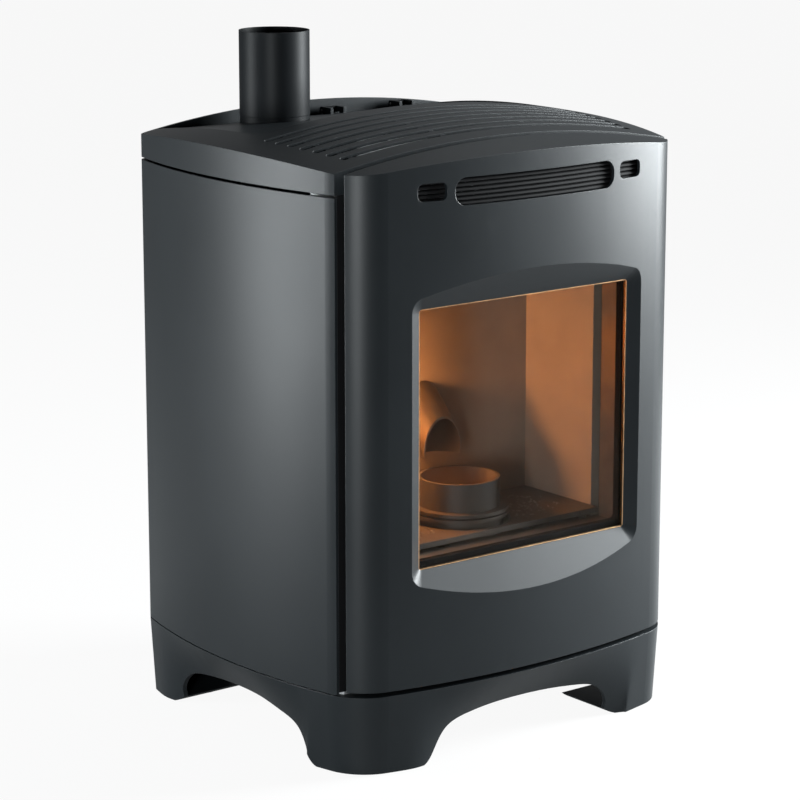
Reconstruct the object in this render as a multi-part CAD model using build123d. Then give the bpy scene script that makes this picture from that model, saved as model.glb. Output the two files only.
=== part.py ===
from build123d import *
import math
import os

os.makedirs("parts", exist_ok=True)

# Pellet stove in millimetres, +Z up, door towards -Y, origin on the floor at the middle of the plan.

# Casing plan
half_width = 226.0
side_bow = 27.0
front_corner_y = -194.0
front_bow = 31.0
back_y = 205.0
front_corner_radius = 62.0
rear_corner_radius = 14.0

# Casing heights
base_height = 88.0
side_seam = 1.5
door_bottom_gap = 5.5
cap_seam_z = 627.5
cap_seam_gap = 3.0
dome_top = 687.0
dome_radius = 1230.0
dome_crest_y = 22.0
flue_top = 766.0

# Gap between the door and the casing behind it
door_edge_y = -178.0
body_front_y = -168.0

# Sheet and casting thicknesses
casing_wall = 3.0
base_wall = 6.0
door_wall = 4.0
plate = 3.0
duct_wall = 2.0
fit_gap = 0.3
running_gap = 0.05

# Base skirt
foot_inset = 5.0
skirt_inset = 58.0
sunk_shape = ((0.10, 0.02), (0.24, 0.42), (0.38, 0.88), (0.5, 1.0),
              (0.62, 0.88), (0.76, 0.42), (0.90, 0.02))
arch_height = 50.0
arch_shape = ((142.0, 0.0), (126.0, 0.32), (112.0, 0.74), (78.0, 0.94))
arch_toe_lean = 0.3
foot_floor = 8.0
pad_radius = 17.0
pad_height = 5.0
pad_stand = 0.5
pad_inset = 42.0

# Louvres in the cap
louvre_count = 7
louvre_first_y = -25.0
louvre_pitch = 19.3
louvre_width = 9.0
louvre_margin = 36.0
louvre_rib_x = (64.0, 188.0)
louvre_rib_width = 6.0
louvre_rib_depth = 7.0

# Rear deck and its opening
deck_half_width = 204.0
deck_front_y = 5.0
deck_rear_margin = 9.0
deck_corner_radius = 24.0
deck_drop = 1.5
deck_thickness = 3.0
deck_joint = 0.8
ledge_width = 5.0
vent_half_width = 136.0
vent_front_y = 10.0
vent_rear_y = 47.0

# Flue pipe
flue_radius = 40.0
flue_wall = 2.0
flue_spigot_length = 95.0
spigot_step = 0.5
flue_x = -87.0
flue_y = 136.0

# Hopper and lid
hopper_x0 = -20.0
hopper_x1 = 166.0
hopper_y0 = 70.0
hopper_y1 = 172.0
hopper_funnel_top = 470.0
hopper_funnel_bottom = 335.0
hopper_outlet_x = 20.0
hopper_outlet_y0 = 80.0
hopper_outlet_y1 = 114.0
hopper_outlet_low = 285.0
hopper_flange = 9.0
lid_overlap = 7.0
lid_edge_gap = 1.2
lid_gasket_depth = 4.0
lid_gasket_width = 5.0
lid_gasket_gap = 1.2
lid_hinge_y = 188.0
lid_hinge_rise = 5.0
lid_hinge_x = (22.0, 124.0)
lid_post_width = 14.0
lid_ear_width = 4.0
lid_ear_radius = 4.2
lid_pin_radius = 1.5
lid_side_gap = 0.4

# Door window
window_half_width = 147.0
window_bottom = 220.0
window_top = 503.0
window_plane_y = -202.0
window_lip = 3.0
window_corner_radius = 4.0
surround_depth = 30.0
surround_side_flare = 60.0
surround_top_flare = 43.5
surround_bottom_flare = 50.0
surround_corner_radius = 38.0

# Door slots
slot_z = 625.5
slot_half_length = 111.0
slot_height = 30.0
small_slot_z = 627.5
small_slot_x = 138.0
small_slot_width = 34.5
small_slot_height = 19.0
small_slot_radius = 6.5

# Glass, inner frame and seals of the door
glass_thickness = 4.0
glass_margin = 10.0
gasket_thickness = 1.5
inner_frame_margin = 30.0
inner_frame_bottom = 112.0
inner_frame_top = 600.0
rope_radius = 4.5
rope_wall = 1.5
boss_radius = 7.0
boss_margin = 15.0
boss_z = (150.0, 290.0, 440.0, 570.0)
screw_radius = 2.5
screw_head_radius = 4.5
screw_head_height = 3.0
screw_length = 9.0

# Door hinge
hinge_margin = 2.7
hinge_y = -174.8
hinge_z = (190.0, 530.0)
hinge_height = 60.0
hinge_knuckle_radius = 4.5
hinge_pin_radius = 2.5
hinge_leaf = 2.5
hinge_leaf_overlap = 10.0
hinge_knuckle_gap = 0.4
hinge_notch_margin = 3.0

# Door latch
latch_margin = 26.0
latch_thickness = 4.0
latch_z = 360.0
latch_pivot_y = -186.0
latch_pin_radius = 3.0
latch_boss_radius = 7.0
latch_swing = 30.0
latch_reach = 34.0
latch_tail = 46.0
keeper_radius = 4.0
latch_slot_half = 6.0
latch_slot_margin = 8.0

# Firebox
shell_half_width = 168.0
shell_bottom = 216.0
shell_top = 562.0
shell_rear_y = 4.0
mouth_half_width = 152.0
mouth_bottom = 222.0
mouth_top = 505.0
mouth_rear_y = -156.0
liner_thickness = 12.0
liner_inner_x = 152.0
liner_front_y = -142.0
back_liner_y = -26.0
liner_top = 520.0
shelf_top = 232.0
shelf_thickness = 6.0
shelf_front_y = -154.0
baffle_thickness = 5.0
baffle_throat = 34.0

# Burn pot and its stand
pot_y = -90.0
pot_radius = 46.0
pot_wall = 3.0
pot_rim_z = 280.0
pot_bottom_z = 234.0
pot_flange_radius = 56.0
pot_flange_z = 244.0
pot_flange_thickness = 4.0
pot_hole_radius = 2.5
stand_radius = 50.0
stand_wall = 2.5
stand_bottom = 166.0
stand_flange_thickness = 4.0
shelf_hole_radius = 58.0

# Pellet feed
auger_tilt = 65.0
auger_top_y = 45.0
auger_top_z = 412.0
auger_tube_length = 205.0
auger_overrun = 26.0
auger_tube_radius = 24.5
auger_tube_wall = 2.0
auger_screw_radius = 21.5
auger_shaft_radius = 7.0
auger_pitch = 36.0
auger_flight = 3.0
auger_bush_length = 10.0
chute_radius = 27.0
chute_wall = 2.0
chute_mouth_y = -57.0
chute_mouth_z = 308.0
chute_tilt = 45.0
chute_lip_z = 296.0
gearbox_length = 34.0
gearbox_width = 52.0
motor_radius = 26.0
motor_length = 38.0

# Combustion air and ignition
air_pipe_x = 60.0
stand_slot_x = 62.0
stand_slot_half_width = 8.0
stand_slot_y = 34.0
stand_slot_half_length = 18.0
air_pipe_z = 188.0
air_pipe_radius = 25.0
air_pipe_out = 20.0
air_box_x0 = -40.0
air_box_x1 = 92.0
air_box_y0 = -44.0
air_box_y1 = -18.0
air_box_z0 = 160.0
air_box_z1 = 215.0
igniter_radius = 3.2
igniter_head_radius = 9.0

# Exhaust side
collector_x0 = -168.0
collector_x1 = -72.0
collector_y0 = -10.0
collector_y1 = 30.0
collector_z0 = 104.0
blower_x = -120.0
blower_z = 168.0
blower_radius = 58.0
blower_y0 = 111.0
blower_y1 = 161.0
blower_duct_radius = 28.0
blower_neck_top = 262.0
flue_insertion = 30.0
blower_leg_spread = 37.0
blower_leg_width = 6.0
impeller_radius = 46.0
impeller_blades = 10
blower_motor_radius = 30.0
blower_motor_length = 30.0
blower_shaft_radius = 4.0

# Room air fan and riser
fan_x0 = 96.0
fan_x1 = 214.0
fan_y = 66.0
fan_z = 134.0
fan_radius = 28.0
fan_case_y0 = 28.0
fan_case_y1 = 104.0
fan_case_top = 172.0
fan_blades = 14
fan_motor_radius = 20.0
fan_motor_length = 30.0
riser_x0 = 98.0
riser_x1 = 158.0
riser_y1 = 26.0
header_x = 150.0
header_z0 = 503.0
header_z1 = 556.0
tube_x = (-116.0, -58.0, 0.0, 58.0, 116.0)
tube_z = 545.0
tube_radius = 13.0
tube_wall = 1.5

# Chassis and ash drawer
chassis_x = 162.0
frame_air_half_width = 160.0
frame_air_z0 = 596.0
frame_air_z1 = 644.0
drawer_half_width = 138.0
drawer_front_y = -164.0
drawer_rear_y = -60.0
drawer_top = 150.0
drawer_wall = 1.5
runner_height = 4.0
runner_width = 10.0
runner_x = 110.0

# Rear panel fittings
back_inset = 4.0
back_vent_count = 9
back_vent_z = 440.0
back_vent_pitch = 16.0
back_vent_height = 6.0
back_vent_half_length = 60.0
inlet_margin = 86.0
inlet_z = 230.0
inlet_width = 48.0
inlet_height = 28.0
inlet_depth = 24.0
switch_z = 268.0
switch_width = 21.0
switch_height = 15.0
switch_swing_radius = 9.0
button_z = 300.0
button_radius = 5.0
button_stand = 3.0
button_travel = 2.0
casing_screw_x = 190.0

# Values worked out from the sizes above
big = 2000.0
inner_frame_half_width = half_width - inner_frame_margin
boss_x = inner_frame_half_width - boss_margin
hinge_x = half_width - hinge_margin
hinge_leaf_x = inner_frame_half_width - hinge_leaf_overlap
latch_x = latch_margin - half_width
inlet_x = half_width - inlet_margin
side_mid_y = (front_corner_y + back_y) / 2
side_half = (back_y - front_corner_y) / 2
side_arc = (side_half**2 + side_bow**2) / (2 * side_bow)
side_centre_x = half_width + side_bow - side_arc
front_arc = (half_width**2 + front_bow**2) / (2 * front_bow)
front_y = front_corner_y - front_bow
front_centre_y = front_y + front_arc
dome_centre_z = dome_top - dome_radius
deck_cylinder = math.sqrt(dome_radius**2 - deck_half_width**2) - deck_drop
deck_rear_y = back_y - deck_rear_margin
panel_bottom = base_height + side_seam
panel_top = cap_seam_z - cap_seam_gap
door_bottom = base_height + door_bottom_gap
floor_top = base_height + plate
back_outer_y = back_y - back_inset
back_inner_y = back_outer_y - duct_wall
glass_front_y = window_plane_y + window_lip + gasket_thickness
glass_back_y = glass_front_y + glass_thickness
inner_frame_y = glass_back_y + plate
rope_half_width = mouth_half_width + plate / 2
mouth_front_y = inner_frame_y + 2 * rope_radius + fit_gap
igniter_z = (shell_bottom + plate + shelf_top - shelf_thickness) / 2
lid_x0 = hopper_x0 - lid_overlap
lid_x1 = hopper_x1 + lid_overlap
lid_y0 = hopper_y0 - lid_overlap
lid_y1 = hopper_y1 + lid_overlap


def block(x0, x1, y0, y1, z0, z1):
    """Box between two corners."""
    place = Pos((x0 + x1) / 2, (y0 + y1) / 2, (z0 + z1) / 2)
    return place * Box(x1 - x0, y1 - y0, z1 - z0)


def rod_x(radius, x0, x1, y, z):
    """Cylinder along X."""
    return Pos((x0 + x1) / 2, y, z) * Rot(0, 90, 0) * Cylinder(radius, x1 - x0)


def rod_y(radius, x, y0, y1, z):
    """Cylinder along Y."""
    return Pos(x, (y0 + y1) / 2, z) * Rot(90, 0, 0) * Cylinder(radius, y1 - y0)


def rod_z(radius, x, y, z0, z1):
    """Cylinder along Z."""
    return Pos(x, y, (z0 + z1) / 2) * Cylinder(radius, z1 - z0)


def save(name, *shapes):
    """Write one node; its solids stay separate."""
    solids = [solid for shape in shapes for solid in shape.solids()]
    export_step(Compound(solids), f"parts/{name}.step")


def plan_outline(inset):
    """Plan of the casing, drawn in by an inset: bowed front and sides, flat back."""
    front = Pos(0, front_centre_y) * Circle(front_arc - inset)
    left = Pos(-side_centre_x, side_mid_y) * Circle(side_arc - inset)
    right = Pos(side_centre_x, side_mid_y) * Circle(side_arc - inset)
    back = Pos(0, back_y - inset - big / 2) * Rectangle(big, big)
    face = front & left & right & back
    corners = face.vertices().sort_by(Axis.Y)
    face = fillet(corners[:2], front_corner_radius - inset)
    corners = face.vertices().sort_by(Axis.Y)
    return fillet(corners[-2:], max(rear_corner_radius - inset, 1.0))


def prism(inset, z0, z1):
    """Upright block of the casing plan."""
    return Pos(0, 0, z0) * extrude(plan_outline(inset), amount=z1 - z0)


def under_dome(inset, z0, cover):
    """Casing plan from z0 up to the dome, drawn in by a cover thickness."""
    ball = Pos(0, dome_crest_y, dome_centre_z) * Sphere(dome_radius - cover)
    return prism(inset, z0, dome_top) & ball


def side_x(y):
    """Half width of the bowed plan at y."""
    return side_centre_x + math.sqrt(side_arc**2 - (y - side_mid_y) ** 2)


def deck_z(y):
    """Height of the deck's top face at y."""
    return dome_centre_z + math.sqrt(deck_cylinder**2 - (y - dome_crest_y) ** 2)


def deck_slab(outline, depth, thickness):
    """Slab of an outline, depth below the deck's top face and curved like it."""
    outer = rod_x(deck_cylinder - depth, -big / 2, big / 2, dome_crest_y, dome_centre_z)
    inner = rod_x(deck_cylinder - depth - thickness, -big, big, dome_crest_y, dome_centre_z)
    low = cap_seam_z - big / 10
    column = Pos(0, 0, low) * extrude(outline, amount=dome_top - low)
    return (column & outer) - inner


def deck_outline(growth):
    """Outline of the rear deck with rounded front corners, grown by a margin."""
    length = deck_rear_y - deck_front_y
    sheet = Pos(0, deck_front_y + length / 2) * Rectangle(2 * deck_half_width, length)
    corners = sheet.vertices().sort_by(Axis.Y)
    sheet = fillet(corners[:2], deck_corner_radius)
    return sheet if growth == 0 else offset(sheet, growth)


def rectangle_at(x0, x1, y0, y1):
    """Flat rectangle between two corners."""
    return Pos((x0 + x1) / 2, (y0 + y1) / 2) * Rectangle(x1 - x0, y1 - y0)


def upright(y, sketch):
    """Put a sketch of X and Z on the plane at y, facing -Y."""
    return Plane(origin=(0, y, 0), x_dir=(1, 0, 0), z_dir=(0, -1, 0)) * sketch


def ring_xz(x_out, z_out, x_in, z_in, y0, y1, radius=0.0):
    """Rectangular ring; z_out and z_in are (bottom, top) pairs."""
    outer = Pos(0, sum(z_out) / 2) * RectangleRounded(2 * x_out, z_out[1] - z_out[0], radius + 2)
    inner = Pos(0, sum(z_in) / 2) * RectangleRounded(2 * x_in, z_in[1] - z_in[0], radius + 1)
    return extrude(upright(y1, outer - inner), amount=y1 - y0)


def corner_points(inset):
    """Start, middle and end of the four rounded corners, counter-clockwise from front left."""
    arcs = [edge for edge in plan_outline(inset).edges() if edge.length < side_half]
    arcs.sort(key=lambda edge: math.atan2((edge @ 0.5).Y, (edge @ 0.5).X))
    points = []
    for edge in arcs:
        ends = [edge @ 0, edge @ 1]
        ends.sort(key=lambda p: math.atan2(p.Y, p.X))
        points.append((ends[0], edge @ 0.5, ends[1]))
    return points


def skirt_section(inset, sink):
    """Casing plan whose sides between the corners sink in; sink 0 keeps the plan itself."""
    corners = corner_points(inset)
    x_edge = half_width + side_bow - inset
    middles = [(0, front_y + inset), (x_edge, side_mid_y), (0, back_y - inset), (-x_edge, side_mid_y)]
    inward = [(0, 1), (-1, 0), (0, -1), (1, 0)]
    edges = []
    for i in range(4):
        start, middle, end = corners[i]
        following = corners[(i + 1) % 4][0]
        edges.append(ThreePointArc(start, middle, end))
        side = Line(end, following) if i == 2 else ThreePointArc(end, middles[i], following)
        edges.append(sunk_side(side, inward[i], sink) if sink > 0 else side)
    return make_face(edges)


def sunk_side(side, inward, sink):
    """A side of the plan that keeps to it near the corners and sinks in between them."""
    points = [side @ 0]
    for place, share in sunk_shape:
        point = side @ place
        points.append((point.X + inward[0] * sink * share, point.Y + inward[1] * sink * share))
    points.append(side @ 1)
    return Spline(points, tangents=[side % 0, side % 1])


def skirt_solid(inset, z0, z1):
    """Solid between the sunk floor section and the casing plan, cut between z0 and z1."""
    low = skirt_section(inset + foot_inset, skirt_inset)
    high = Pos(0, 0, base_height) * skirt_section(inset, 0)
    return loft([low, high], ruled=True) & block(-big, big, -big, big, z0, z1)


def foot_places():
    """Centres of the four foot pads."""
    x = half_width - foot_inset - pad_inset
    return [(sx * x, y) for sx in (-1, 1) for y in (front_corner_y + pad_inset, back_y - pad_inset)]


def arch_cutter():
    """Arch along Y that leaves each foot with a rounded toe and rises to a low crown."""
    half = [(-x, z * arch_height) for x, z in arch_shape]
    points = half + [(0, arch_height)] + [(-x, z) for x, z in reversed(half)]
    lean = arch_toe_lean
    curve = Spline(points, tangents=[(1, lean), (1, -lean)])
    end = arch_shape[0][0]
    floor = Polyline((end, 0), (end, -1), (-end, -1), (-end, 0))
    return extrude(upright(big / 2, make_face([curve, floor])), amount=big)


def base_skirt():
    """Cast skirt with four feet, closed on top, open below and towards the middle."""
    body = skirt_solid(0, pad_stand, base_height)
    body -= skirt_solid(base_wall, foot_floor, base_height - base_wall)
    body -= arch_cutter()
    body -= Pos(0, side_mid_y, 0) * Rot(0, 0, 90) * arch_cutter()
    for x, y in foot_places():
        body -= rod_z(pad_radius + fit_gap, x, y, 0, pad_height)
    return body


def foot_pads():
    """Rubber pads let into the feet."""
    return [rod_z(pad_radius, x, y, 0, pad_height) for x, y in foot_places()]


def side_panel(side):
    """Bowed side panel that turns round the rear corner."""
    skin = prism(0, panel_bottom, panel_top) - prism(casing_wall, panel_bottom - 1, panel_top + 1)
    reach = block(casing_screw_x - 12, big / 2, body_front_y, back_y + 1, 0, big / 2)
    panel = skin & reach
    return panel if side > 0 else mirror(panel, Plane.YZ)


def back_panel():
    """Flat rear panel with a louvre field and holes for its fittings."""
    width = half_width - rear_corner_radius
    panel = block(-width, width, back_inner_y, back_outer_y, panel_bottom, panel_top)
    for i in range(back_vent_count):
        z = back_vent_z + i * back_vent_pitch
        for x in (-width / 2, width / 2):
            slot = block(x - back_vent_half_length, x + back_vent_half_length, back_inner_y - 1,
                         back_outer_y + 1, z, z + back_vent_height)
            panel -= slot
    panel -= rod_y(air_pipe_radius - spigot_step + running_gap, air_pipe_x, back_inner_y - 1,
                   back_outer_y + 1, air_pipe_z)
    for z, width_z, height in ((inlet_z, inlet_width, inlet_height),
                               (switch_z, switch_width, switch_height)):
        panel -= block(inlet_x - width_z / 2, inlet_x + width_z / 2, back_inner_y - 1,
                       back_outer_y + 1, z - height / 2, z + height / 2)
    bush = rod_y(button_radius + 4, inlet_x, back_inner_y - 4, back_outer_y, button_z)
    panel += bush - rod_y(2 + running_gap, inlet_x, back_inner_y - 5, back_outer_y, button_z)
    return panel - rod_y(button_radius + fit_gap, inlet_x, back_inner_y, back_outer_y + 1, button_z)


def louvre_cut(index):
    """One louvre slot, rounded at its ends."""
    y = louvre_first_y - index * louvre_pitch
    half = side_x(y) - louvre_margin
    slot = Pos(0, y) * SlotOverall(2 * half, louvre_width)
    return Pos(0, 0, cap_seam_z) * extrude(slot, amount=dome_top)


def louvre_ribs():
    """Cross ribs cast under the louvre bars, a little below the skin's top face."""
    y0 = louvre_first_y - louvre_count * louvre_pitch
    y1 = louvre_first_y + louvre_pitch / 2
    ribs = []
    for x in louvre_rib_x:
        for side in (-1, 1):
            ribs.append(block(side * x - louvre_rib_width / 2, side * x + louvre_rib_width / 2,
                              y0, y1, cap_seam_z, dome_top))
    ball = Pos(0, dome_crest_y, dome_centre_z) * Sphere(dome_radius - casing_wall + 1)
    core = Pos(0, dome_crest_y, dome_centre_z) * Sphere(dome_radius - casing_wall - louvre_rib_depth)
    return [(rib & ball) - core for rib in ribs]


def top_cap():
    """Domed cap with its cheeks, louvre bars and the frame of the rear deck."""
    behind = block(-big, big, body_front_y, big, 0, big)
    body = under_dome(0, cap_seam_z, 0) & behind
    inner = under_dome(casing_wall, cap_seam_z - 1, casing_wall)
    inner &= block(-big, big, body_front_y + casing_wall, big, 0, big)
    cap = body - inner
    cap -= block(-frame_air_half_width, frame_air_half_width, body_front_y - 1,
                 body_front_y + casing_wall + 1, 0, frame_air_z1)
    for i in range(louvre_count):
        cap -= louvre_cut(i)
    for rib in louvre_ribs():
        cap += rib
    frame_low = deck_thickness + deck_drop + plate
    rim = deck_outline(casing_wall + deck_joint) - deck_outline(deck_joint)
    column = Pos(0, 0, cap_seam_z) * extrude(rim, amount=dome_top) & under_dome(0, cap_seam_z, 0)
    below = rod_x(deck_cylinder - frame_low, -big, big, dome_crest_y, dome_centre_z)
    wall = (column - below) & block(-big, big, deck_front_y + ledge_width, big, 0, big)
    opening = Pos(0, 0, cap_seam_z) * extrude(deck_outline(deck_joint), amount=dome_top)
    cap = cap - opening + wall
    ring = deck_outline(casing_wall) - deck_outline(-ledge_width)
    ledge = deck_slab(ring, deck_thickness, plate) & under_dome(casing_wall / 2, cap_seam_z, 0)
    return cap + ledge


def rear_deck():
    """Curved deck with the warm air opening, the flue hole and the lid's opening."""
    deck = deck_slab(deck_outline(0), 0, deck_thickness)
    deck -= block(-vent_half_width, vent_half_width, vent_front_y, vent_rear_y, 0, big)
    deck -= rod_z(flue_radius - spigot_step + fit_gap, flue_x, flue_y, 0, big)
    gap = lid_edge_gap
    deck -= block(lid_x0 - gap, lid_x1 + gap, lid_y0 - gap, lid_y1 + gap, 0, big)
    return deck


def lid_axis_z():
    """Height of the lid's hinge line."""
    return deck_z(lid_hinge_y) + lid_hinge_rise


def lid_hinge_posts():
    """Fixed hinge posts on the deck behind the lid."""
    posts = []
    z = lid_axis_z()
    for x in lid_hinge_x:
        low = deck_z(lid_hinge_y) - 1
        post = block(x, x + lid_post_width, lid_hinge_y - lid_ear_radius, lid_hinge_y + lid_ear_radius,
                     low, z)
        post += rod_x(lid_ear_radius, x, x + lid_post_width, lid_hinge_y, z)
        post -= rod_x(deck_cylinder, -big, big, dome_crest_y, dome_centre_z)
        post -= rod_x(lid_pin_radius, x - 1, x + lid_post_width + 1, lid_hinge_y, z)
        posts.append(post)
    return posts


def lid_hinge_pins():
    """Pins through the posts and the lid's ears."""
    reach = lid_side_gap + lid_ear_width
    return [rod_x(lid_pin_radius, x - reach, x + lid_post_width + reach, lid_hinge_y, lid_axis_z())
            for x in lid_hinge_x]


def hopper_lid():
    """Curved lid with ears that reach back to the hinge line."""
    lid = deck_slab(rectangle_at(lid_x0, lid_x1, lid_y0, lid_y1), 0, deck_thickness)
    z = lid_axis_z()
    for x in lid_hinge_x:
        starts = (x - lid_side_gap - lid_ear_width, x + lid_post_width + lid_side_gap)
        for x0 in starts:
            x1 = x0 + lid_ear_width
            ear = block(x0, x1, lid_y1 - 2 * lid_ear_radius, lid_hinge_y, z - lid_ear_radius / 2,
                        z + lid_ear_radius)
            ear += rod_x(lid_ear_radius, x0, x1, lid_hinge_y, z)
            ear += block(x0, x1, lid_y1 - 2 * lid_ear_radius, lid_y1, deck_z(lid_y1) - 1, z)
            ear -= rod_x(lid_pin_radius + running_gap, x0 - 1, x1 + 1, lid_hinge_y, z)
            lid += ear
    return lid


def lid_gasket():
    """Soft ring under the lid, inside the hopper's mouth."""
    g = lid_gasket_gap
    w = lid_gasket_width
    outer = rectangle_at(hopper_x0 + g, hopper_x1 - g, hopper_y0 + g, hopper_y1 - g)
    inner = rectangle_at(hopper_x0 + g + w, hopper_x1 - g - w, hopper_y0 + g + w, hopper_y1 - g - w)
    return deck_slab(outer - inner, deck_thickness, lid_gasket_depth)


def flue_pipe():
    """Flue from the blower's neck up through the deck."""
    low = blower_neck_top - flue_insertion
    spigot_low = flue_top - flue_spigot_length
    pipe = rod_z(flue_radius - spigot_step, flue_x, flue_y, low, flue_top)
    pipe += rod_z(flue_radius, flue_x, flue_y, spigot_low, flue_top)
    return pipe - rod_z(flue_radius - flue_wall, flue_x, flue_y, low - 1, flue_top + 1)


def surround_profile(growth, out):
    """Section of the window surround, out millimetres in front of the window plane."""
    share = out / surround_depth
    x = window_half_width + surround_side_flare * share + growth
    low = window_bottom - surround_bottom_flare * share - growth
    high = window_top + surround_top_flare * share + growth
    radius = window_corner_radius + surround_corner_radius * share
    sheet = Pos(0, (low + high) / 2) * RectangleRounded(2 * x, high - low, radius)
    return upright(window_plane_y - out, sheet)


def surround_solid(growth, back):
    """Sunk window surround as a solid, with a straight stretch behind the window plane."""
    flare = loft([surround_profile(growth, 0), surround_profile(growth, surround_depth)], ruled=True)
    straight = extrude(surround_profile(growth, 0), amount=-back)
    return flare + straight


def slot_cut(x, z, width, height, radius):
    """Rounded slot through the front of the door."""
    sheet = Pos(x, z) * RectangleRounded(width, height, radius)
    return extrude(upright(front_y + surround_depth, sheet), amount=2 * surround_depth)


def hinge_notch(z):
    """Room in the door's edge for one hinge."""
    reach = hinge_knuckle_radius + hinge_notch_margin
    half = hinge_height / 2 + hinge_notch_margin
    return block(hinge_x - reach, big, hinge_y - hinge_knuckle_radius - 1.5, 0, z - half, z + half)


def door_shell():
    """Bowed door casting with its slots, sunk window surround and inner bosses."""
    outer = under_dome(0, door_bottom, 0)
    front = block(-big, big, -big, door_edge_y, 0, big)
    shell = (outer - under_dome(door_wall, door_bottom + door_wall, door_wall)) & front
    shell += surround_solid(door_wall, window_lip) & outer
    lip = glass_margin + 1
    shell += ring_xz(window_half_width + lip, (window_bottom - lip, window_top + lip),
                     window_half_width, (window_bottom, window_top),
                     window_plane_y, window_plane_y + window_lip, lip)
    shell -= surround_solid(0, window_lip + 1)
    for x in (-boss_x, boss_x):
        for z in boss_z:
            shell += rod_y(boss_radius, x, front_y, glass_back_y, z) & outer
            depth = screw_length - plate + 1
            shell -= rod_y(screw_radius, x, glass_back_y - depth, glass_back_y + 1, z)
    shell -= slot_cut(0, slot_z, 2 * slot_half_length, slot_height, slot_height / 2 - 1.5)
    for x in (-small_slot_x, small_slot_x):
        shell -= slot_cut(x, small_slot_z, small_slot_width, small_slot_height, small_slot_radius)
    for z in hinge_z:
        shell -= hinge_notch(z)
    return shell


def door_glass():
    """Ceramic glass pane behind the lip."""
    width = 2 * (window_half_width + glass_margin)
    height = window_top - window_bottom + 2 * glass_margin
    sheet = Pos(0, (window_bottom + window_top) / 2) * RectangleRounded(width, height, 5)
    return extrude(upright(glass_back_y, sheet), amount=glass_thickness)


def glass_gasket():
    """Flat gasket between the lip and the glass."""
    margin = glass_margin - 1
    return ring_xz(window_half_width + margin, (window_bottom - margin, window_top + margin),
                   window_half_width + 2, (window_bottom - 2, window_top + 2),
                   window_plane_y + window_lip, glass_front_y, 3)


def rope_ring(grow_in, grow_out, y0, y1):
    """Ring about the rope's centre line, reaching grow_in inwards and grow_out outwards."""
    low = mouth_bottom - plate / 2
    high = mouth_top + plate / 2
    return ring_xz(rope_half_width + grow_out, (low - grow_out, high + grow_out),
                   rope_half_width - grow_in, (low + grow_in, high - grow_in), y0, y1, rope_radius)


def rope_seal():
    """Rope seal laid in the inner frame's channel."""
    low = mouth_bottom - plate / 2
    high = mouth_top + plate / 2
    y = inner_frame_y + rope_radius
    path = Pos(0, (low + high) / 2) * RectangleRounded(2 * rope_half_width, high - low, 2 * rope_radius)
    wire = upright(y, path).wire()
    section = Plane(origin=wire @ 0, z_dir=wire % 0) * Circle(rope_radius)
    return sweep(section, path=wire)


def inner_frame():
    """Pressed frame that holds the glass, the rope seal and the latch."""
    outer = rectangle_at(-inner_frame_half_width, inner_frame_half_width, inner_frame_bottom,
                         inner_frame_top)
    reach = rope_radius + fit_gap
    body = extrude(upright(inner_frame_y, outer), amount=plate)
    low = mouth_bottom - plate / 2 + reach + rope_wall
    high = mouth_top + plate / 2 - reach - rope_wall
    half = rope_half_width - reach - rope_wall
    body -= block(-half, half, glass_back_y - 1, inner_frame_y + 1, low, high)
    rib_y = inner_frame_y + 1.3 * rope_radius
    body += rope_ring(reach + rope_wall, -reach, inner_frame_y - 0.5, rib_y)
    body += rope_ring(-reach, reach + rope_wall, inner_frame_y - 0.5, rib_y)
    for x in (-boss_x, boss_x):
        for z in boss_z:
            body -= rod_y(screw_radius + fit_gap, x, glass_back_y - 1, inner_frame_y + 1, z)
    lug_x = latch_x + latch_thickness / 2 + fit_gap
    lug = block(lug_x, -inner_frame_half_width + latch_boss_radius, glass_back_y,
                latch_pivot_y + latch_pin_radius + plate, latch_z - latch_boss_radius,
                latch_z + latch_boss_radius)
    body += lug
    return body - rod_x(latch_pin_radius, lug_x - 1, -inner_frame_half_width + 2 * latch_boss_radius,
                        latch_pivot_y, latch_z)


def inner_frame_screws():
    """Screws through the inner frame into the door's bosses."""
    screws = []
    for x in (-boss_x, boss_x):
        for z in boss_z:
            shank = rod_y(screw_radius, x, inner_frame_y - screw_length, inner_frame_y, z)
            head = rod_y(screw_head_radius, x, inner_frame_y, inner_frame_y + screw_head_height, z)
            screws.append(shank + head)
    return screws


def hinge_knuckle(z0, z1, bore):
    """One knuckle about the door's hinge line."""
    return rod_z(hinge_knuckle_radius, hinge_x, hinge_y, z0, z1) - rod_z(
        bore, hinge_x, hinge_y, z0 - 1, z1 + 1)


def knuckle_spans(z):
    """Heights of the lower, middle and upper knuckle of the hinge at z."""
    third = hinge_height / 3
    g = hinge_knuckle_gap / 2
    low = z - hinge_height / 2
    return [(low, low + third - g), (low + third + g, low + 2 * third - g),
            (low + 2 * third + g, low + 3 * third)]


def hinge_neck(z0, z1, y0, y1):
    """Web between a leaf and its knuckle."""
    neck = block(hinge_x - hinge_knuckle_radius - 1.5, hinge_x, y0, y1, z0, z1)
    return neck - rod_z(hinge_knuckle_radius - 1, hinge_x, hinge_y, z0 - 1, z1 + 1)


def door_hinge_leaves():
    """Hinge leaves on the door, each with a foot on the inner frame."""
    leaves = []
    edge = hinge_x - hinge_knuckle_radius - 0.6
    for z in hinge_z:
        low, high = z - hinge_height / 2, z + hinge_height / 2
        leaf = block(hinge_leaf_x, edge, door_edge_y, door_edge_y + hinge_leaf, low, high)
        leaf += block(hinge_leaf_x, inner_frame_half_width, inner_frame_y, door_edge_y, low, high)
        z0, z1 = knuckle_spans(z)[1]
        leaf += hinge_knuckle(z0, z1, hinge_pin_radius + running_gap)
        leaf += hinge_neck(z0, z1, door_edge_y, door_edge_y + hinge_leaf)
        leaves.append(leaf)
    return leaves


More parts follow.
